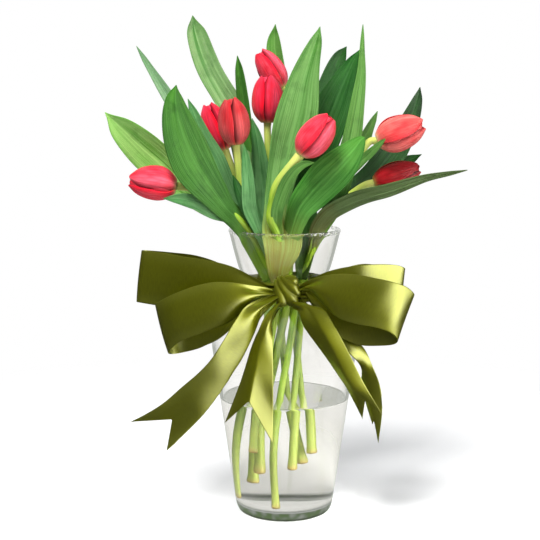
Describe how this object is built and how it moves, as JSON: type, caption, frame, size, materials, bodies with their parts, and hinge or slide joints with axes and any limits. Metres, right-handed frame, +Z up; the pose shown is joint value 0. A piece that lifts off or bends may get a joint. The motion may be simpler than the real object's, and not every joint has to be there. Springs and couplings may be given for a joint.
{
  "type": "tulips in a vase",
  "caption": "Cut red tulips with broad leaves in a flared glass vase of water, tied at the neck with a wide satin bow.",
  "frame": {"origin": "centre of the vase's flat base, on the surface that the vase stands on", "axes": "+Z up along the vase's axis, -Y towards the front, where the bow is, +X to the right seen from the front"},
  "size_m": [0.3524, 0.1686, 0.4984],
  "materials": {
    "glass": "clear and glossy",
    "water": "clear liquid",
    "leaf": "waxy green with fine parallel veins",
    "red_petal": "satiny crimson with pink streaks",
    "coral_petal": "satiny coral with pale streaks",
    "satin": "shiny olive satin"
  },
  "bodies": {
    "root": {"vase": "glass", "water": "water", "tulip_1_leafy_stem": "leaf", "tulip_1_bloom": "red_petal", "tulip_2_leafy_stem": "leaf", "tulip_2_bloom": "red_petal", "tulip_3_leafy_stem": "leaf", "tulip_3_bloom": "red_petal", "tulip_4_leafy_stem": "leaf", "tulip_4_bloom": "red_petal", "tulip_5_leafy_stem": "leaf", "tulip_5_bloom": "red_petal", "tulip_6_leafy_stem": "leaf", "tulip_6_bloom": "red_petal", "tulip_7_leafy_stem": "leaf", "tulip_7_bloom": "coral_petal", "tulip_8_leafy_stem": "leaf", "tulip_8_bloom": "red_petal", "ribbon_band": "satin", "ribbon_knot": "satin", "ribbon_loop_left_front": "satin", "ribbon_loop_left_back": "satin", "ribbon_loop_right_front": "satin", "ribbon_loop_right_back": "satin", "ribbon_tail_left_outer": "satin", "ribbon_tail_left_inner": "satin", "ribbon_tail_right_inner": "satin", "ribbon_tail_right_outer": "satin"}
  },
  "joints": []
}
